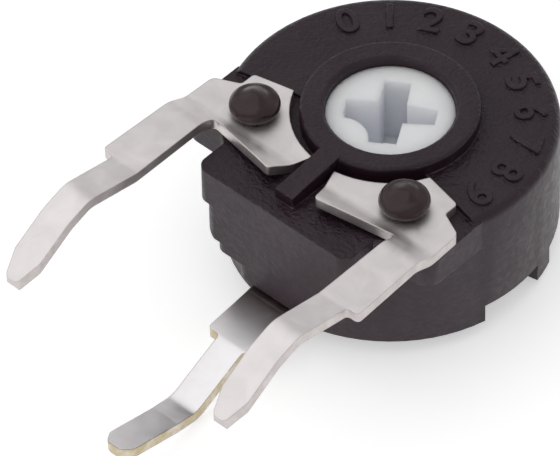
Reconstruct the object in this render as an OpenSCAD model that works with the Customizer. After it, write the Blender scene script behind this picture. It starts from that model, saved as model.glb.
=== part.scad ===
// Single-turn trimmer potentiometer of the 10 mm class, set with a screwdriver.
// The face and its rotor look along +Z, and the three pins leave along -Y.
// The flat back lies at z = 0, and the rotor turns about the Z axis.

/* [Housing] */
// Diameter of the round housing
body_d = 10.3; // [9.6:0.1:12.4]
// Height of the face above the back
face_h = 4.5; // [4.2:0.1:6]
// Thickness of the round wall
wall_t = 0.8; // [0.6:0.05:1]
// Thickness of the face over the inside
face_t = 0.95; // [0.8:0.05:1.1]
// Radius of the rounded edge around the face
rim_r = 0.3; // [0.1:0.05:0.5]
// Height at which the wall ends, where no foot carries it to the back
skirt_z = 0.65; // [0.5:0.05:0.8]
// Half of the angle that the front foot takes
foot_half_angle = 75.5; // [60:0.5:85]
// Angle of the near edge of each rear foot, counted from the X axis
rear_foot_from = 11.5; // [5:0.5:20]
// Angle that each rear foot takes
rear_foot_span = 9.5; // [5:0.5:20]

/* [Squared front] */
// Width of the squared front
front_w = 6.1; // [5.6:0.1:6.8]
// How far the flat front stands out beyond the round wall
front_out = 0.21; // [0.05:0.01:0.4]
// Radius of the upright corners of the front
front_corner_r = 0.4; // [0.2:0.05:0.8]
// How far the front's lower end lies below the top of the middle terminal
front_drop = 0.13; // [0.05:0.01:0.2]
// Height at which the front first steps in at its sides
front_step_z = 3.03; // [2.6:0.01:3.4]
// How far each side steps in there
front_step = 0.28; // [0.1:0.02:0.4]
// Height at which the sides start to draw in again
front_taper_z = 2.05; // [1.9:0.05:2.2]
// How far each side draws in, at 45 degrees
front_taper = 0.4; // [0.2:0.02:0.5]
// Height of the last step, to the narrow foot of the front
front_foot_z = 1.3; // [1.1:0.05:1.4]
// Width of that foot
front_foot_w = 3; // [2.6:0.1:3.6]

/* [Ears] */
// How far the ears that carry the outer terminals reach in front of the stakes
ear_out = 1.09; // [0.9:0.01:1.3]
// How far the side of an ear lies inside the widest part of the round wall
ear_in = 0.2; // [0.05:0.01:0.3]
// Thickness of an ear
ear_t = 1.1; // [0.8:0.05:1.4]
// Radius of the upright corner of an ear
ear_corner_r = 0.5; // [0.2:0.05:0.7]
// Where an ear fades into the round wall, in front of the axis
ear_back_y = 1.4; // [1:0.1:2]

/* [Face] */
// Outer diameter of the collar around the rotor
collar_d = 5.5; // [5:0.1:6.8]
// Height of the collar above the face
collar_rise = 0.46; // [0.3:0.02:0.8]
// Radius of the round edge on top of the collar
collar_edge_r = 0.12; // [0.05:0.01:0.2]
// Width of the chamfer at the mouth of the collar's bore
mouth = 0.12; // [0.05:0.01:0.2]
// Depth of the recess that the outer terminals lie in
recess_depth = 0.15; // [0.1:0.05:0.3]
// Distance of the recess's back wall in front of the axis, at the collar
recess_y = 1.2; // [1:0.05:1.4]
// Angle at which that wall runs forwards
recess_slant = 12.5; // [8:0.5:16]
// Width of the rib between the outer terminals
rib_w = 0.7; // [0.6:0.02:1]
// Length of the rib in front of the collar
rib_l = 2; // [1.4:0.02:2.2]
// How far the top of the rib falls towards its front end
rib_fall = 0.2; // [0:0.05:0.4]

/* [Stakes] */
// Distance from the collar to the middle of each stake
stake_out = 1.335; // [1.3:0.005:1.5]
// Angle of the stakes, in front of the X axis
stake_angle = 42.1; // [38:0.1:46]
// Diameter of the moulded post that passes through a terminal
post_d = 1; // [0.8:0.05:1.2]
// Diameter of the head formed from the post
head_d = 1.58; // [1.5:0.02:1.8]
// Height of that head above the terminal
head_h = 0.78; // [0.62:0.02:0.9]
// Radius of the round edge of that head
head_edge_r = 0.3; // [0.2:0.01:0.3]

/* [Terminals] */
// Thickness of the terminal sheet
sheet_t = 0.35; // [0.3:0.01:0.5]
// Distance between the two outer pins
pin_pitch = 8.4; // [8.2:0.02:8.6]
// Width of a pin below its shoulder
pin_w = 1.03; // [0.8:0.01:1.2]
// Width of the blunt end of a pin
tip_w = 0.46; // [0.3:0.02:0.8]
// Length over which a pin narrows to its end
tip_l = 0.75; // [0.5:0.05:1]
// Radius of the corners at the end of a pin
tip_r = 0.2; // [0.1:0.02:0.24]
// Step at the shoulder that stops a pin in its hole
shoulder = 0.45; // [0.3:0.01:0.6]
// Distance from the axis to the shoulders
shoulder_y = 7.15; // [6.8:0.05:7.4]
// Length of an outer pin beyond its shoulder
pin_l = 5.05; // [4.4:0.05:5.6]
// How far the outer strips rise just in front of the housing
strip_rise = 0.3; // [0:0.05:0.4]
// Height that the snap bend of an outer pin rises to, above its strip
outer_kink = 0.4; // [0.3:0.05:0.6]
// Height that an outer pin falls from there to its end
outer_fall = 1.5; // [1:0.05:1.8]
// Depth of the snap bend of the middle pin, below its shoulders
middle_kink = 0.95; // [0.6:0.05:1.2]
// Height that the middle pin rises again from there to its end
middle_rise = 0.65; // [0:0.05:0.8]
// Width of the rounder end of the middle pin
middle_tip_w = 0.5; // [0.4:0.05:0.8]
// Length over which the middle pin narrows to its end
middle_tip_l = 0.4; // [0.3:0.05:1]
// Radius of the corners at the end of the middle pin
middle_tip_r = 0.3; // [0.1:0.02:0.3]
// Length of the middle pin beyond its shoulders
middle_pin_l = 5.25; // [4.4:0.05:5.6]
// How far the middle terminal falls between the front and its shoulders
exit_fall = 0.22; // [0:0.02:0.3]
// Distance from a shoulder to the start of the snap bend
snap_start = 0.1; // [0.1:0.05:0.3]
// Distance from a shoulder to the height of the snap bend
snap_middle = 2.1; // [1.9:0.05:2.4]
// Distance from a shoulder to the last, gentle bend
snap_end = 3; // [2.8:0.05:3.4]
// Share of a pin's last rise or fall that lies before that bend
snap_share = 0.2; // [0:0.05:0.4]
// Radius of the corners in the sheet's outline
corner_r = 0.14; // [0.05:0.01:0.18]
// Radius of the bends, at the middle of the sheet
bend_r = 0.9; // [0.6:0.05:1.1]
// Width of the middle terminal behind its shoulders
collector_w = 2; // [1.8:0.02:2.2]

/* [Tabs] */
// How far a tab reaches beyond its stake, sideways
tab_side = 1.09; // [0.95:0.01:1.2]
// Length of a tab in front of the collar, beside the rib
tab_front = 1.7; // [1.4:0.05:1.8]
// How far that end of a tab is cut back sideways
tab_corner = 0.5; // [0.1:0.01:0.6]
// Distance behind the stake at which the strip leaves its tab
strip_back = 0.6; // [0.5:0.01:0.8]
// Length of the slant that leads from there to the strip
strip_slant = 0.39; // [0.2:0.01:0.6]
// Radius of the outer corner that this slant makes with the strip
strip_corner_r = 0.25; // [0.1:0.05:0.3]
// How much the strip widens towards its shoulder
strip_taper = 0.2; // [0:0.02:0.3]
// Gap between a tab and the walls of its recess
tab_gap = 0.1; // [0.05:0.01:0.15]

/* [Rotor] */
// Diameter of the rotor's journal in the collar
journal_d = 3.94; // [3.2:0.02:4.2]
// Radial clearance of the rotor in its bearings
running_gap = 0.03; // [0.02:0.01:0.08]
// Depth of the rotor's top below the top of the collar
rotor_sink = 0.32; // [0.2:0.02:0.5]
// Length of the two narrow arms of the cross slot, from the axis
slot_arm = 1.41; // [1.1:0.01:1.44]
// Width of the narrow arms at their outer ends
slot_w = 0.62; // [0.5:0.02:0.8]
// Length of the two wide arms of the cross slot, from the axis
wide_arm = 1.31; // [1.1:0.01:1.4]
// Width of the wide arms at their outer ends
wide_w = 0.82; // [0.6:0.02:0.9]
// Width of the cross slot close to the middle
slot_waist = 0.9; // [0.7:0.02:1]
// Radius of the one inner corner of the slot that is cut back
slot_corner_r = 0.9; // [0.2:0.05:0.9]
// Depth of the cross slot
slot_depth = 2.4; // [1.8:0.1:2.6]
// Diameter of the rotor's flange
flange_d = 5.8; // [5.4:0.1:6]
// Thickness of the flange
flange_t = 0.7; // [0.6:0.05:0.8]
// Diameter of the rear pivot
pivot_d = 3; // [2.6:0.1:3.2]
// Direction in which the wiper points at rest
wiper_rest_angle = 77; // [45:1:135]
// Total angle through which the rotor turns
travel = 235; // [200:1:250]

/* [Inside] */
// Step inside the wall that the board's and the rear cover's rims are cut to
wall_step = 0.15; // [0.1:0.05:0.25]
// Thickness of the resistive element's board
board_t = 0.6; // [0.5:0.05:0.7]
// Thickness of the printed track
track_t = 0.04; // [0.03:0.01:0.08]
// Diameter of the middle of the track
track_d = 7; // [6.8:0.1:7.2]
// Width of the track
track_w = 1; // [0.8:0.05:1.2]
// Thickness of the rear cover
cover_t = 0.5; // [0.45:0.01:0.6]
// Thickness of the wiper's spring sheet
wiper_t = 0.15; // [0.1:0.01:0.2]
// Gap between the wiper and what it sweeps over
contact_gap = 0.05; // [0.03:0.01:0.1]
// Clearance of pieces that are pushed together
seat_gap = 0.03; // [0.02:0.01:0.05]

/* [Hidden] */
$fn = 96;
bend_steps = 10;
corner_steps = 4;
// How far a cut reaches past what it cuts
over = 0.5;
housing_colour = [0.16, 0.14, 0.16];
metal_colour = [0.78, 0.77, 0.74];
white_colour = [0.9, 0.91, 0.93];
board_colour = [0.62, 0.44, 0.26];

body_r = body_d / 2;
cover_r = body_r - wall_t;
cavity_r = cover_r - wall_step;
ceiling_z = face_h - face_t;
recess_z = face_h - recess_depth;
tab_top_z = recess_z + sheet_t;
collar_r = collar_d / 2;
collar_z = face_h + collar_rise;
front_y = body_r + front_out;
stake_r = collar_r + stake_out;
stake_x = stake_r * cos(stake_angle);
stake_y = stake_r * sin(stake_angle);
ear_y = stake_y + ear_out;
ear_w = body_d - 2 * ear_in;
rib_y = collar_r + rib_l;

// The stack inside, counted down from the face and up from the back
board_z = ceiling_z - board_t;
track_z = board_z - track_t;
dimple_h = 0.2;
flange_top_z = track_z - contact_gap - dimple_h - wiper_t;
flange_z = flange_top_z - flange_t;
collector_top_z = cover_t + sheet_t;
pivot_floor_z = cover_t / 2;
front_z = collector_top_z - front_drop;

journal_r = journal_d / 2;
bore_r = journal_r + running_gap;
rotor_top_z = collar_z - rotor_sink;
flange_r = flange_d / 2;
pivot_r = pivot_d / 2;
slot_angle = wiper_rest_angle - 45;

// The middle terminal: its ring around the pivot, its tail and the way out of the housing
collector_clear = 0.3;
collector_ring_w = 1.1;
collector_hole_r = pivot_r + collector_clear;
collector_ring_r = collector_hole_r + collector_ring_w;
tail_y = collector_hole_r + 0.2;
exit_gap = 0.1;
exit_w = collector_w + 2 * exit_gap;
exit_y = collector_ring_r - exit_gap;

// The lug on the rotor turns between two posts on the rear cover
lug_clear = 0.3;
lug_r = cavity_r - lug_clear;
lug_half_angle = 12;
stop_clear = 0.45;
stop_in_r = flange_r + stop_clear;
stop_overlap = 0.1;
stop_gap_angle = 0.5;
stop_from = travel / 2 + lug_half_angle + stop_gap_angle;
stop_span = 20;

// The outer terminals' tongues run down through the face to the ends of the track
hollow_r = collar_r + 0.3;
tongue_w = 0.7;
tongue_angle = 66;
tongue_out = 0.1;
track_half_angle = 90 + tongue_angle + 6;

// The outer terminals: their pins, and where their strips lift off the housing
pin_x = pin_pitch / 2;
lift_start_y = ear_y - 0.1;
lift_end_y = ear_y + 0.6;

// The wiper: a ring around the journal, an arm for the track and a leg for the collector
wiper_hole_r = bore_r + 0.1;
wiper_ring_r = flange_r - 0.1;
wiper_arm_w = 0.7;
wiper_arm_r = (track_d + track_w) / 2 - 0.1;
wiper_bend_r = 0.15;
dimple_r = 0.3;
dimple_top_r = 0.15;
leg_in_r = bore_r + 0.3;
leg_out_r = flange_r + 0.15;
leg_foot_r = (collector_hole_r + collector_ring_r) / 2;

// The vector v turned by the angle a
function turned(v, a) = [v.x * cos(a) - v.y * sin(a), v.x * sin(a) + v.y * cos(a)];
function unit(v) = v / norm(v);
// The signed angle from the direction u to the direction v
function turn(u, v) = atan2(u.x * v.y - u.y * v.x, u * v);
function side_of(u) = [-u.y, u.x];

// One side of the bend at corner p of a path, at the distance h to its left
function bend(a, p, b, r, h = 0, steps = bend_steps) =
    let (u = unit(p - a), v = unit(b - p), t = turn(u, v), k = sign(t),
         c = p - u * r * tan(abs(t) / 2) + side_of(u) * k * r)
    [for (i = [0:steps]) c - turned(side_of(u), t * i / steps) * k * (r - k * h)];

// The whole path moved by h to its left, with its corners bent to the radius r
function path_side(p, r, h) =
    let (n = len(p) - 1)
    concat([p[0] + side_of(unit(p[1] - p[0])) * h],
           [for (i = [1:n - 1]) each bend(p[i - 1], p[i], p[i + 1], r, h)],
           [p[n] + side_of(unit(p[n] - p[n - 1])) * h]);

// The closed outline p with its corners rounded. A point may give its own radius as a third number.
function rounded(p) =
    let (n = len(p), q = [for (c = p) [c.x, c.y]])
    [for (i = [0:n - 1]) each bend(q[(i + n - 1) % n], q[i], q[(i + 1) % n],
                                   len(p[i]) > 2 ? p[i].z : corner_r, steps = corner_steps)];

function backwards(p) = [for (i = [len(p) - 1:-1:0]) p[i]];

// The section of a bent sheet that follows a path
module sheet_section(path, r, t) {
    polygon(concat(path_side(path, r, t / 2), backwards(path_side(path, r, -t / 2))));
}

// Lays a section drawn as (y, z) across the whole width of the part
module across(w) {
    rotate([90, 0, 90]) linear_extrude(w, center = true) children();
}

// A pie slice that reaches past the radius r
module slice(r, from, to) {
    steps = 8;
    polygon(concat([[0, 0]], [for (i = [0:steps]) let (a = from + (to - from) * i / steps)
                              2 * r * [cos(a), sin(a)]]));
}

module ring(outer, inner, z0, z1) {
    translate([0, 0, z0]) linear_extrude(z1 - z0) difference() {
        circle(outer);
        circle(inner);
    }
}

// The piece of a ring between two angles
module ring_piece(outer, inner, z0, z1, from, to) {
    translate([0, 0, z0]) linear_extrude(z1 - z0) intersection() {
        difference() {
            circle(outer);
            circle(inner);
        }
        slice(outer, from, to);
    }
}

// A rectangle in front of the axis, with its two front corners rounded
module front_plan(w, y, r) {
    translate([-w / 2 + r, -y]) square([w - 2 * r, y]);
    translate([-w / 2, -y + r]) square([w, y - r]);
    for (s = [-1, 1]) translate([s * (w / 2 - r), -y + r]) circle(r);
}

module drum() {
    rotate_extrude() {
        translate([0, skirt_z]) square([body_r - rim_r, face_h - skirt_z]);
        translate([0, skirt_z]) square([body_r, face_h - rim_r - skirt_z]);
        translate([body_r - rim_r, face_h - rim_r]) intersection() {
            circle(rim_r);
            square(rim_r);
        }
    }
}

// One tier of the squared front, from a height up to another
module front_tier(w, z0, z1) {
    translate([0, 0, z0]) linear_extrude(z1 - z0) front_plan(w, front_y, front_corner_r);
}

module squared_front() {
    step_w = front_w - 2 * front_step;
    taper_w = step_w - 2 * front_taper;
    taper_end_z = front_taper_z - front_taper;
    front_tier(front_w, front_step_z, recess_z);
    front_tier(step_w, front_taper_z, front_step_z);
    front_tier(taper_w, front_foot_z, front_taper_z);
    front_tier(front_foot_w, front_z, front_foot_z);
    intersection() {
        front_tier(step_w, taper_end_z, front_taper_z);
        rotate([90, 0, 0]) linear_extrude(front_y)
            polygon([[-step_w / 2, front_taper_z], [-taper_w / 2, taper_end_z],
                     [taper_w / 2, taper_end_z], [step_w / 2, front_taper_z]]);
    }
}

module ears() {
    translate([0, 0, recess_z - ear_t]) linear_extrude(ear_t) difference() {
        front_plan(ear_w, ear_y, ear_corner_r);
        translate([-ear_w / 2, -ear_back_y]) square([ear_w, ear_back_y + over]);
    }
}

module feet() {
    ring_piece(body_r, cover_r, 0, skirt_z + over, -90 - foot_half_angle, -90 + foot_half_angle);
    for (a = [rear_foot_from, 180 - rear_foot_from - rear_foot_span])
        ring_piece(body_r, cover_r, 0, skirt_z + over, a, a + rear_foot_span);
}

module collar() {
    rotate_extrude() {
        square([collar_r, collar_z - collar_edge_r]);
        square([collar_r - collar_edge_r, collar_z]);
        translate([collar_r - collar_edge_r, collar_z - collar_edge_r]) intersection() {
            circle(collar_edge_r);
            square(collar_edge_r);
        }
    }
}

// The distance of the recess's back wall in front of the axis, at the sideways distance x
function recess_back(x) = recess_y + (x - collar_r) * tan(recess_slant);

// The outline of the recess: all that lies in front of its two slanted back walls
module recess_plan() {
    reach = body_r + over;
    polygon([[-reach, -recess_back(reach)], [-collar_r, -recess_y], [collar_r, -recess_y],
             [reach, -recess_back(reach)], [reach, -front_y - over], [-reach, -front_y - over]]);
}

// The rib between the terminals, whose top falls a little from the collar to its front end
module rib() {
    across(rib_w) polygon([[0, ceiling_z], [-rib_y, ceiling_z], [-rib_y, collar_z - rib_fall],
                           [-collar_r, collar_z], [0, collar_z]]);
}

// A post through a terminal, with the round button that is formed from its end
module stake() {
    flat_r = head_d / 2 - head_edge_r;
    rise = head_h - 2 * head_edge_r;
    crown_r = (pow(flat_r, 2) + pow(rise, 2)) / (2 * rise);
    translate([0, 0, ceiling_z]) cylinder(d = post_d, h = tab_top_z - ceiling_z);
    translate([0, 0, tab_top_z]) rotate_extrude() {
        square([flat_r, 2 * head_edge_r]);
        translate([flat_r, head_edge_r]) intersection() {
            circle(head_edge_r);
            translate([0, -head_edge_r]) square(2 * head_edge_r);
        }
        intersection() {
            translate([0, head_h - crown_r]) circle(crown_r);
            square([flat_r, head_h]);
        }
    }
}

// Where an outer terminal's tongue passes, with a gap around it
module tongue_plan(gap) {
    rotate(-tongue_angle) translate([hollow_r - gap, -tongue_w / 2 - gap])
        square([sheet_t + 2 * gap, tongue_w + 2 * gap]);
}

module both_sides() {
    children();
    mirror([1, 0, 0]) children();
}

module exit_slot() {
    translate([-exit_w / 2, -front_y - over, -over])
        cube([exit_w, front_y - exit_y + over, front_z + over]);
}

module housing() {
    color(housing_colour) difference() {
        union() {
            difference() {
                union() {
                    drum();
                    squared_front();
                    ears();
                }
                translate([0, 0, recess_z]) linear_extrude(collar_z) recess_plan();
            }
            collar();
            rib();
            feet();
            both_sides() translate([stake_x, -stake_y, 0]) stake();
        }
        translate([0, 0, -over]) cylinder(r = cavity_r, h = ceiling_z + over);
        translate([0, 0, -over]) cylinder(r = cover_r, h = collector_top_z + over);
        translate([0, 0, -over]) cylinder(r = bore_r, h = collar_z + 2 * over);
        translate([0, 0, collar_z - mouth]) cylinder(r1 = bore_r, r2 = bore_r + 2 * mouth, h = 2 * mouth);
        exit_slot();
        both_sides() translate([0, 0, board_z]) linear_extrude(recess_z) tongue_plan(seat_gap);
    }
}

// A dished cover with the rotor's rear bearing and the two posts that stop the rotor
module rear_cover() {
    rim_out = cover_r - seat_gap;
    color(housing_colour) difference() {
        union() {
            cylinder(r = rim_out, h = cover_t);
            ring(rim_out, lug_r, 0, collector_top_z);
            for (a = [90 + stop_from, 90 - stop_from - stop_span])
                ring_piece(lug_r + stop_overlap, stop_in_r, 0, flange_top_z, a, a + stop_span);
        }
        translate([0, 0, pivot_floor_z]) cylinder(r = pivot_r + running_gap, h = cover_t);
        exit_slot();
    }
}

// A round board with the carbon track printed on its rear side
module resistive_element() {
    color(board_colour) difference() {
        union() {
            ring(cavity_r - seat_gap, bore_r + 0.3, board_z, ceiling_z);
            ring_piece((track_d + track_w) / 2, (track_d - track_w) / 2, track_z, board_z,
                       90 - track_half_angle, 90 + track_half_angle);
        }
        both_sides() translate([0, 0, track_z - over]) linear_extrude(board_t + 2 * over)
            tongue_plan(seat_gap);
    }
}

// The end of a pin around the line x = c: it lies end_y in front of the axis and is end_w wide,
// and the pin narrows to it over the length end_l
function pin_end(c, end_y, end_w, end_l, end_r) =
    [for (p = [[pin_w / 2, end_l - end_y], [end_w / 2, -end_y], [-end_w / 2, -end_y],
               [-pin_w / 2, end_l - end_y]]) [c + p.x, p.y, end_r]];

// The snap bend of a pin of the length l, whose height z changes by bend_h, and then by end_h
function kink(z, bend_h, end_h, l) =
    [for (p = [[snap_start, 0], [snap_middle, bend_h], [snap_end, bend_h + end_h * snap_share],
               [l, bend_h + end_h]]) [-shoulder_y - p.x, z + p.y]];

// The flat outline of the right terminal: its tab, its strip and its pin
module outer_plan() {
    outer_x = pin_x + pin_w / 2 + shoulder;
    rib_side = rib_w / 2 + tab_gap;
    side_x = stake_x + tab_side;
    strip_y = stake_y - strip_back;
    outline = concat([[collar_r, -recess_y - tab_gap], [rib_side, -collar_r],
                      [rib_side, -hollow_r], [rib_side + tab_corner, -collar_r - tab_front],
                      [pin_x - pin_w / 2, -ear_y]],
                     backwards(pin_end(pin_x, shoulder_y + pin_l, tip_w, tip_l, tip_r)),
                     [[pin_x + pin_w / 2, -shoulder_y], [outer_x, -shoulder_y],
                      [outer_x - strip_taper, -strip_y - strip_slant, strip_corner_r],
                      [side_x, -strip_y], [side_x, -recess_back(side_x) - tab_gap]]);
    difference() {
        polygon(rounded(outline));
        circle(hollow_r);
        translate([stake_x, -stake_y]) circle(d = post_d + 2 * seat_gap);
    }
}

module outer_terminal() {
    flat_z = recess_z + sheet_t / 2;
    strip_z = flat_z + strip_rise;
    path = concat([[0, flat_z], [-lift_start_y, flat_z], [-lift_end_y, strip_z]],
                  kink(strip_z, outer_kink, -outer_fall, pin_l));
    intersection() {
        translate([0, 0, -face_h]) linear_extrude(3 * face_h) outer_plan();
        across(3 * body_d) sheet_section(path, bend_r, sheet_t);
    }
    translate([0, 0, track_z - tongue_out]) linear_extrude(flat_z - track_z + tongue_out)
        tongue_plan(0);
}

module terminal_right() {
    color(metal_colour) outer_terminal();
}

module terminal_left() {
    color(metal_colour) mirror([1, 0, 0]) outer_terminal();
}

// The ring that the wiper rubs on, with the middle pin
module collector_terminal() {
    flat_z = cover_t + sheet_t / 2;
    exit_z = sheet_t / 2;
    path = concat([[-tail_y, flat_z], [-collector_ring_r - exit_gap, flat_z], [-front_y, exit_z]],
                  kink(exit_z - exit_fall, -middle_kink, middle_rise, middle_pin_l));
    outline = concat([[collector_w / 2, -tail_y], [collector_w / 2, -shoulder_y],
                      [pin_w / 2, -shoulder_y]],
                     pin_end(0, shoulder_y + middle_pin_l, middle_tip_w, middle_tip_l, middle_tip_r),
                     [[-pin_w / 2, -shoulder_y], [-collector_w / 2, -shoulder_y],
                      [-collector_w / 2, -tail_y]]);
    color(metal_colour) {
        ring(collector_ring_r, collector_hole_r, cover_t, collector_top_z);
        intersection() {
            translate([0, 0, -face_h]) linear_extrude(2 * face_h) polygon(rounded(outline));
            across(2 * body_d) sheet_section(path, bend_r, sheet_t);
        }
    }
}

// A pair of arms of the cross slot, which narrow from the waist to the width w
module arms(l, w) {
    polygon([[-l, -w / 2], [0, -slot_waist / 2], [l, -w / 2], [l, w / 2], [0, slot_waist / 2],
             [-l, w / 2]]);
}

// The cross slot, with one of its inner corners cut back
module cross_slot() {
    corner = slot_waist / 2;
    arms(slot_arm, slot_w);
    rotate(90) arms(wide_arm, wide_w);
    rotate(180) difference() {
        square(corner + slot_corner_r);
        translate([corner + slot_corner_r, corner + slot_corner_r]) circle(slot_corner_r);
    }
}

module rotor() {
    color(white_colour) difference() {
        union() {
            translate([0, 0, flange_z]) cylinder(r = journal_r, h = rotor_top_z - flange_z);
            translate([0, 0, flange_z]) cylinder(r = flange_r, h = flange_t);
            translate([0, 0, pivot_floor_z + running_gap])
                cylinder(r = pivot_r, h = flange_z - pivot_floor_z);
            ring_piece(lug_r, flange_r - over, flange_z, flange_top_z,
                       wiper_rest_angle - lug_half_angle, wiper_rest_angle + lug_half_angle);
        }
        translate([0, 0, rotor_top_z - slot_depth]) linear_extrude(slot_depth + over)
            rotate(slot_angle) cross_slot();
    }
}

// A spring sheet on the flange: an arm with a dimple for the track, and a leg for the collector
module wiper() {
    top_z = flange_top_z + wiper_t;
    mid_z = flange_top_z + wiper_t / 2;
    foot_z = collector_top_z + contact_gap + wiper_t / 2;
    leg = [[leg_in_r, mid_z], [leg_out_r, mid_z], [leg_out_r, foot_z + wiper_bend_r],
           [leg_foot_r, foot_z]];
    color(metal_colour) rotate(wiper_rest_angle) {
        ring(wiper_ring_r, wiper_hole_r, flange_top_z, top_z);
        translate([wiper_ring_r - over, -wiper_arm_w / 2, flange_top_z])
            cube([wiper_arm_r - wiper_ring_r + over, wiper_arm_w, wiper_t]);
        translate([track_d / 2, 0, top_z]) cylinder(r1 = dimple_r, r2 = dimple_top_r, h = dimple_h);
        rotate(90) across(wiper_arm_w) sheet_section(leg, wiper_bend_r, wiper_t);
    }
}

housing();
rear_cover();
resistive_element();
collector_terminal();
terminal_left();
terminal_right();
rotor();
wiper();
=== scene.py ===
"""Looks for the trimmer potentiometer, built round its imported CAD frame."""

import math

import bmesh
import bpy
from mathutils import Matrix, Vector


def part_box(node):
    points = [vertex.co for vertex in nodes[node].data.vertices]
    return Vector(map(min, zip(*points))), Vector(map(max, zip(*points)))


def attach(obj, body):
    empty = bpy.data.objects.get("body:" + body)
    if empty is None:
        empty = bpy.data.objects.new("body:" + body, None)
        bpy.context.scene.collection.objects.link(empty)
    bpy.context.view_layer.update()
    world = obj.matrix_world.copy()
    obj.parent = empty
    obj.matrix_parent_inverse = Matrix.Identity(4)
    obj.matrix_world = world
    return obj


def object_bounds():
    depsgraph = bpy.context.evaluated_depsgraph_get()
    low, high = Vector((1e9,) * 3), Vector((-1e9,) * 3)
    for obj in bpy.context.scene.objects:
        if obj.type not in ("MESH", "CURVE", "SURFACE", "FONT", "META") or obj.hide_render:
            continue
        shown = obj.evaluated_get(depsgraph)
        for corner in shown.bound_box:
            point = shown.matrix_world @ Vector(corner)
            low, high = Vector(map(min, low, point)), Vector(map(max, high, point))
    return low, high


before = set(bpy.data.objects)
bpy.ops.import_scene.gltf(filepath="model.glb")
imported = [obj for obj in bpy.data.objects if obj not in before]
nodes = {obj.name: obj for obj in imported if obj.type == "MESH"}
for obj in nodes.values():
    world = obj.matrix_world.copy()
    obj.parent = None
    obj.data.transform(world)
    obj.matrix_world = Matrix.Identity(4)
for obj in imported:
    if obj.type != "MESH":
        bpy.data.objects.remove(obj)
cad_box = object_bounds()

MM = 0.001
# How far apart two corners of a mesh may lie and still be welded into one, in mm
WELD_GAP = 0.0005
# The lowest and highest values that most of a noise takes
NOISE_LOW, NOISE_HIGH = 0.3, 0.7
# The middles of the stake heads on the terminals' tabs, and the radius of a ball that holds one, in mm
STAKES = [(-3.03, -2.74, 4.9), (3.03, -2.74, 4.9)]
HEAD_R = 0.9
# The height of a figure as a share of the built-in font's size
FIGURE_SHARE = 0.72
# The part of the face outside this radius, in mm, is flat and bare
FACE_RIM_R = 4.9


# Camera, floor and light

def direction(azimuth, elevation):
    """The way from the part towards the given angles in degrees; azimuth 0 is the side of the pins."""
    a, e = math.radians(azimuth), math.radians(elevation)
    return Vector((math.sin(a) * math.cos(e), -math.cos(a) * math.cos(e), math.sin(e)))


def make_camera(azimuth, elevation, roll, distance, aim, field_width):
    """A long lens at the given angles in degrees, looking at aim, that sees field_width there."""
    back = direction(azimuth, elevation)
    turn = (-back).to_track_quat("-Z", "Y").to_matrix().to_4x4()
    tilt = Matrix.Rotation(math.radians(roll), 4, "Z")
    data = bpy.data.cameras.new("camera")
    data.sensor_width = 36
    data.lens = data.sensor_width * distance / field_width
    data.clip_start, data.clip_end = distance * 0.01, distance * 20
    camera = bpy.data.objects.new("camera", data)
    camera.matrix_world = Matrix.Translation(aim + back * distance) @ turn @ tilt
    bpy.context.scene.collection.objects.link(camera)
    bpy.context.scene.camera = camera


def resting_plane():
    """A point on the surface that the part lies on, and how much that surface falls towards the
    pins, in radians."""
    low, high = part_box("rear_cover")
    heel = Vector((0, high.y, low.z))
    return heel, max(math.atan2(heel.z - v.co.z, heel.y - v.co.y)
                     for v in nodes["collector_terminal"].data.vertices)


def make_floor(size, white, glow):
    """A square floor that the part lies on. Its glow keeps it white under the dim world."""
    heel, fall = resting_plane()
    mesh = bpy.data.meshes.new("floor")
    half = size / 2
    mesh.from_pydata([(-half, -half, 0), (half, -half, 0), (half, half, 0), (-half, half, 0)], [],
                     [(0, 1, 2, 3)])
    floor = bpy.data.objects.new("floor", mesh)
    floor.matrix_world = Matrix.Translation(heel) @ Matrix.Rotation(fall, 4, "X")
    bpy.context.scene.collection.objects.link(floor)
    material = bpy.data.materials.new("pale_floor")
    material.use_nodes = True
    shader = material.node_tree.nodes["Principled BSDF"]
    shader.inputs["Base Color"].default_value = (white, white, white, 1)
    shader.inputs["Roughness"].default_value = 0.8
    shader.inputs["Specular IOR Level"].default_value = 0.1
    shader.inputs["Emission Color"].default_value = (1, 1, 1, 1)
    shader.inputs["Emission Strength"].default_value = glow
    mesh.materials.append(material)


def softbox(name, azimuth, elevation, distance, size, power, target):
    """A square area light at the given angles round target."""
    back = direction(azimuth, elevation)
    data = bpy.data.lights.new(name, "AREA")
    data.size = size
    data.energy = power
    light = bpy.data.objects.new(name, data)
    light.location = target + back * distance
    light.rotation_mode = "QUATERNION"
    light.rotation_quaternion = (-back).to_track_quat("-Z", "Y")
    bpy.context.scene.collection.objects.link(light)


def make_world(strength):
    world = bpy.data.worlds.new("studio")
    world.use_nodes = True
    background = world.node_tree.nodes["Background"]
    background.inputs["Color"].default_value = (1, 1, 1, 1)
    background.inputs["Strength"].default_value = strength
    bpy.context.scene.world = world


low, high = cad_box
centre = (low + high) / 2
make_camera(azimuth=43.38, elevation=46.04, roll=-1.18, distance=241.3 * MM,
            aim=centre + Vector((-0.8, -0.48, 0.05)) * MM, field_width=16.89 * MM)
make_floor(size=400 * MM, white=0.9, glow=0.42)
make_world(strength=0.6)
softbox("key", azimuth=-55, elevation=58, distance=120 * MM, size=200 * MM, power=0.055,
        target=centre)
bpy.context.scene.view_settings.view_transform = "Standard"


# Materials

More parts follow.
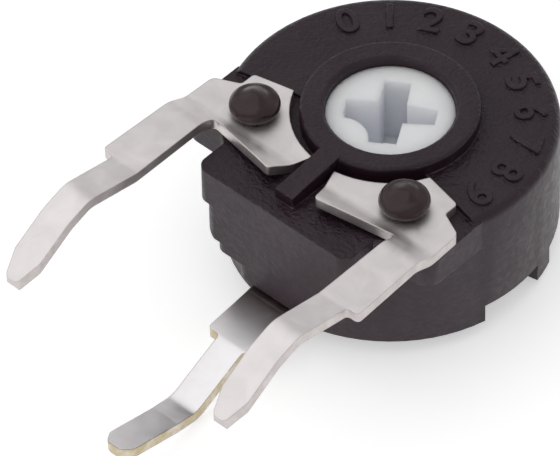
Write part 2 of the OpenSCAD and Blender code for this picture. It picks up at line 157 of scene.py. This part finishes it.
class Nodes:
    """A short way to add and join shader nodes in one material."""

    def __init__(self, name):
        self.material = bpy.data.materials.new(name)
        self.material.use_nodes = True
        self.tree = self.material.node_tree
        self.shader = self.tree.nodes["Principled BSDF"]
        coords = self.add("ShaderNodeTexCoord")
        scale = self.add("ShaderNodeVectorMath", operation="SCALE")
        scale.inputs["Scale"].default_value = 1 / MM
        self.join(coords.outputs["Object"], scale.inputs[0])
        self.place = scale.outputs["Vector"]

    def add(self, kind, **settings):
        node = self.tree.nodes.new(kind)
        for key, value in settings.items():
            setattr(node, key, value)
        return node

    def join(self, output, socket):
        self.tree.links.new(output, socket)

    def set(self, **values):
        for key, value in values.items():
            self.shader.inputs[key.replace("_", " ")].default_value = value

    def noise(self, size, detail=4, rough=0.5, distort=0, stretch=(1, 1, 1)):
        """Noise from 0 to 1 whose blobs are about size mm across."""
        place = self.add("ShaderNodeMapping")
        place.inputs["Scale"].default_value = [s / size for s in stretch]
        self.join(self.place, place.inputs["Vector"])
        node = self.add("ShaderNodeTexNoise")
        node.inputs["Scale"].default_value = 1
        node.inputs["Detail"].default_value = detail
        node.inputs["Roughness"].default_value = rough
        node.inputs["Distortion"].default_value = distort
        self.join(place.outputs["Vector"], node.inputs["Vector"])
        return node.outputs["Fac"]

    def range(self, value, low, high, to_low=0, to_high=1, smooth=False):
        """The value, mapped from low and high to to_low and to_high, and held at those beyond."""
        node = self.add("ShaderNodeMapRange")
        node.interpolation_type = "SMOOTHSTEP" if smooth else "LINEAR"
        node.inputs["From Min"].default_value = low
        node.inputs["From Max"].default_value = high
        node.inputs["To Min"].default_value = to_low
        node.inputs["To Max"].default_value = to_high
        self.join(value, node.inputs["Value"])
        return node.outputs["Result"]

    def maths(self, operation, a, b=0.0):
        node = self.add("ShaderNodeMath", operation=operation)
        for socket, value in zip(node.inputs, (a, b)):
            if isinstance(value, (int, float)):
                socket.default_value = value
            else:
                self.join(value, socket)
        return node.outputs["Value"]

    def mix(self, share, a, b):
        """Colour a where share is 0, and colour b where it is 1."""
        node = self.add("ShaderNodeMix", data_type="RGBA")
        self.join(share, node.inputs["Factor"])
        for socket, value in ((node.inputs["A"], a), (node.inputs["B"], b)):
            if isinstance(value, tuple):
                socket.default_value = (*value, 1)
            else:
                self.join(value, socket)
        return node.outputs["Result"]

    def spread(self, noise, to_low=0, to_high=1):
        """The bulk of a noise, stretched to run from to_low to to_high."""
        return self.range(noise, NOISE_LOW, NOISE_HIGH, to_low, to_high)

    def near(self, centres, radius, fade=1.2):
        """1 within radius mm of any of the given places, and 0 from fade times that on."""
        found = 0.0
        for centre in centres:
            away = self.add("ShaderNodeVectorMath", operation="DISTANCE")
            self.join(self.place, away.inputs[0])
            away.inputs[1].default_value = centre
            inside = self.range(away.outputs["Value"], radius, fade * radius, 1, 0)
            found = self.maths("MAXIMUM", found, inside)
        return found

    def facing_up(self):
        """1 where the surface faces up, 0 on a wall and -1 where it faces down."""
        geometry = self.add("ShaderNodeNewGeometry")
        parts = self.add("ShaderNodeSeparateXYZ")
        self.join(geometry.outputs["True Normal"], parts.inputs["Vector"])
        return parts.outputs["Z"]

    def rounded(self, radius):
        """The normal as if edges were rounded to radius mm, and a mask that is 1 on those edges."""
        bevel = self.add("ShaderNodeBevel", samples=8)
        bevel.inputs["Radius"].default_value = radius * MM
        flat = self.add("ShaderNodeNewGeometry")
        same = self.add("ShaderNodeVectorMath", operation="DOT_PRODUCT")
        self.join(bevel.outputs["Normal"], same.inputs[0])
        self.join(flat.outputs["True Normal"], same.inputs[1])
        sharp, plain = 0.8, 0.97
        return bevel.outputs["Normal"], self.range(same.outputs["Value"], sharp, plain, 1, 0)

    def bump(self, height, depth, normal=None):
        """Bump whose height runs from 0 to depth mm."""
        node = self.add("ShaderNodeBump")
        node.inputs["Strength"].default_value = 1
        node.inputs["Distance"].default_value = depth * MM
        self.join(height, node.inputs["Height"])
        if normal:
            self.join(normal, node.inputs["Normal"])
        return node.outputs["Normal"]


def black_plastic():
    """Moulded black plastic: leathery on top, smoother on walls, glossy and dimpled on the heads.
    Its edges are pale in places: partly wear, partly a painted highlight where edges catch light."""
    m = Nodes("moulded_black")
    head = m.near(STAKES, HEAD_R)
    soft, edge = m.rounded(0.07)
    grain = m.noise(0.11, detail=3)
    pebble = m.noise(0.24, detail=3, distort=0.5)
    cloud = m.noise(1.6, detail=4)
    colour = m.mix(m.spread(cloud), (0.0135, 0.004, 0.0095), (0.022, 0.0085, 0.016))
    colour = m.mix(m.range(pebble, 0.6, 0.75, to_high=0.5), colour, (0.034, 0.026, 0.030))
    colour = m.mix(head, colour, (0.026, 0.010, 0.012))
    # Pale patches along the edges: partly wear, partly a painted highlight where edges catch light.
    wear_and_edge_highlight = m.maths("MULTIPLY", edge, m.range(m.noise(0.2, detail=4), 0.52, 0.66))
    colour = m.mix(wear_and_edge_highlight, colour, (0.11, 0.095, 0.10))
    m.join(colour, m.shader.inputs["Base Color"])
    gloss = m.spread(pebble, 0.34, 0.5)
    polish = m.maths("MULTIPLY", head, 0.17)
    m.join(m.maths("SUBTRACT", gloss, polish), m.shader.inputs["Roughness"])
    m.set(IOR=1.42)
    dimple = m.maths("MULTIPLY", m.noise(0.5, detail=0), head)
    faces = m.range(m.facing_up(), 0.5, 0.9, to_low=0.2)
    texture = m.maths("MULTIPLY", m.maths("SUBTRACT", 1.0, head), faces)
    normal = m.bump(dimple, 0.14, soft)
    normal = m.bump(m.maths("MULTIPLY", pebble, texture), 0.06, normal)
    normal = m.bump(m.maths("MULTIPLY", grain, texture), 0.035, normal)
    m.join(normal, m.shader.inputs["Normal"])
    return m.material


def white_plastic():
    """Moulded white plastic with a faint blue cast, softly uneven."""
    m = Nodes("moulded_white")
    soft, _ = m.rounded(0.14)
    cloud = m.noise(0.9, detail=3)
    colour = m.mix(m.spread(cloud), (0.875, 0.885, 0.96), (0.925, 0.935, 0.995))
    m.join(colour, m.shader.inputs["Base Color"])
    m.join(m.spread(m.noise(0.3), 0.36, 0.5), m.shader.inputs["Roughness"])
    m.set(Subsurface_Weight=1.0, Subsurface_Radius=(1, 1, 1), Subsurface_Scale=0.9 * MM,
          IOR=1.45)
    normal = m.bump(m.noise(0.5, detail=2), 0.015, soft)
    m.join(m.bump(m.noise(0.12, detail=3), 0.003, normal), m.shader.inputs["Normal"])
    return m.material


def tinned_sheet(name, low, high, rim, cut, rough, dark_reflection_span=None):
    """Tinned sheet. Its colour varies from low to high, with a broken line, rim, along the upper
    edges, and cut on its cut edges. A last argument of two Y values, in mm, adds a painted
    reflection of the dark housing: the sheet darkens from the first to the second of them."""
    m = Nodes(name)
    soft, edge = m.rounded(0.06)
    cloud = m.noise(0.8, detail=4, distort=0.6)
    rolled = m.noise(0.12, detail=3, stretch=(3, 0.5, 3))
    patch = m.noise(0.5, detail=4, rough=0.6)
    up = m.facing_up()
    colour = m.mix(m.spread(cloud), low, high)
    flat = m.range(m.maths("ABSOLUTE", up), 0.3, 0.4, 1, 0)
    colour = m.mix(m.maths("MULTIPLY", flat, m.range(patch, 0.3, 0.6, 0.55, 1)), colour, cut)
    line = m.maths("MULTIPLY", edge, m.range(patch, 0.36, 0.46, 0.4, 1))
    colour = m.mix(m.maths("MULTIPLY", line, m.range(up, -0.1, 0.2, 0, 1)), colour, rim)
    if dark_reflection_span:
        # A painted reflection of the dark housing: the sheet darkens along Y towards its root.
        place = m.add("ShaderNodeSeparateXYZ")
        m.join(m.place, place.inputs["Vector"])
        housing_reflection = m.range(m.maths("ADD", place.outputs["Y"], cloud), *dark_reflection_span, smooth=True)
        colour = m.mix(housing_reflection, colour, (0.22, 0.17, 0.17))
    m.join(colour, m.shader.inputs["Base Color"])
    m.join(m.spread(cloud, rough, rough + 0.12), m.shader.inputs["Roughness"])
    m.set(Metallic=1.0)
    normal = m.bump(m.noise(1.1, detail=0), 0.02, soft)
    m.join(m.bump(rolled, 0.001, normal), m.shader.inputs["Normal"])
    return m.material


def track_board():
    """Brown board whose fibres run along X."""
    m = Nodes("track_board")
    fibre = m.noise(0.25, detail=5, stretch=(1, 4, 1))
    m.join(m.mix(fibre, (0.25, 0.13, 0.06), (0.42, 0.25, 0.12)), m.shader.inputs["Base Color"])
    m.set(Roughness=0.55)
    m.join(m.bump(fibre, 0.004), m.shader.inputs["Normal"])
    return m.material


def dress(name, material):
    """Gives a CAD node its material."""
    slots = nodes[name].material_slots
    if not slots:
        nodes[name].data.materials.append(material)
    for slot in nodes[name].material_slots:
        slot.link = "OBJECT"
        slot.material = material


def soften(name, width):
    """Rounds a CAD node's sharp edges to the radius width, in mm, without moving its surfaces."""
    weld = nodes[name].modifiers.new("weld", "WELD")
    weld.merge_threshold = WELD_GAP * MM
    bevel = nodes[name].modifiers.new("bevel", "BEVEL")
    bevel.width = width * MM
    bevel.segments = 3
    bevel.limit_method = "ANGLE"
    bevel.angle_limit = math.radians(35)
    bevel.harden_normals = True


black = black_plastic()
tin = tinned_sheet("tinned_sheet", low=(0.74, 0.70, 0.70), high=(0.86, 0.82, 0.815),
                   rim=(0.62, 0.57, 0.54), cut=(0.56, 0.52, 0.51), rough=0.4)
# The collector's root gets a painted reflection of the dark housing between the two Y values given
# last.
bright_tin = tinned_sheet("bright_tinned_sheet", low=(0.88, 0.86, 0.87), high=(0.96, 0.94, 0.955),
                          rim=(0.15, 0.09, 0.04), cut=(0.50, 0.42, 0.26), rough=0.28,
                          dark_reflection_span=(-6.7, -4.5))
spring = tinned_sheet("spring_metal", low=(0.70, 0.64, 0.48), high=(0.78, 0.72, 0.55),
                      rim=(0.45, 0.38, 0.24), cut=(0.62, 0.55, 0.38), rough=0.25)
for name, material in (("housing", black), ("rear_cover", black), ("terminal_left", tin),
                       ("terminal_right", tin), ("collector_terminal", bright_tin),
                       ("wiper", spring), ("rotor", white_plastic()),
                       ("resistive_element", track_board())):
    dress(name, material)
for name, width in (("housing", 0.08), ("terminal_left", 0.08), ("terminal_right", 0.08),
                    ("collector_terminal", 0.08), ("rotor", 0.14)):
    soften(name, width)


# The raised dial numbers on the face

def dial_numbers(texts, radius, height, rise, edge_r, first, last):
    """Raised figures whose tops point outwards, spread evenly round the face from first to last
    degrees. They are half sunk into the face. The sizes are in mm."""
    face_z = max(v.co.z for v in nodes["housing"].data.vertices
                 if math.hypot(v.co.x, v.co.y) > FACE_RIM_R * MM)
    shape = bmesh.new()
    for i, text in enumerate(texts):
        angle = math.radians(first + (last - first) * i / (len(texts) - 1))
        curve = bpy.data.curves.new("figure", "FONT")
        curve.body = text
        curve.size = height / FIGURE_SHARE * MM
        curve.align_x, curve.align_y = "CENTER", "CENTER"
        curve.extrude = rise / 2 * MM
        curve.bevel_depth = edge_r * MM
        curve.bevel_resolution = 1
        figure = bpy.data.objects.new("figure", curve)
        bpy.context.scene.collection.objects.link(figure)
        bpy.context.view_layer.update()
        graph = bpy.context.evaluated_depsgraph_get()
        mesh = bpy.data.meshes.new_from_object(figure.evaluated_get(graph))
        spot = Vector((math.cos(angle) * radius * MM, math.sin(angle) * radius * MM, face_z))
        mesh.transform(Matrix.Translation(spot) @ Matrix.Rotation(angle - math.pi / 2, 4, "Z"))
        shape.from_mesh(mesh)
        bpy.data.objects.remove(figure)
        bpy.data.curves.remove(curve)
        bpy.data.meshes.remove(mesh)
    bmesh.ops.remove_doubles(shape, verts=shape.verts, dist=WELD_GAP * MM)
    mesh = bpy.data.meshes.new("dial_numbers")
    shape.to_mesh(mesh)
    shape.free()
    piece = bpy.data.objects.new("dial_numbers", mesh)
    bpy.context.scene.collection.objects.link(piece)
    mesh.materials.clear()
    mesh.materials.append(black)
    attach(piece, "base")


dial_numbers("0123456789", radius=4.18, height=1, rise=0.12, edge_r=0.03, first=150, last=-10)
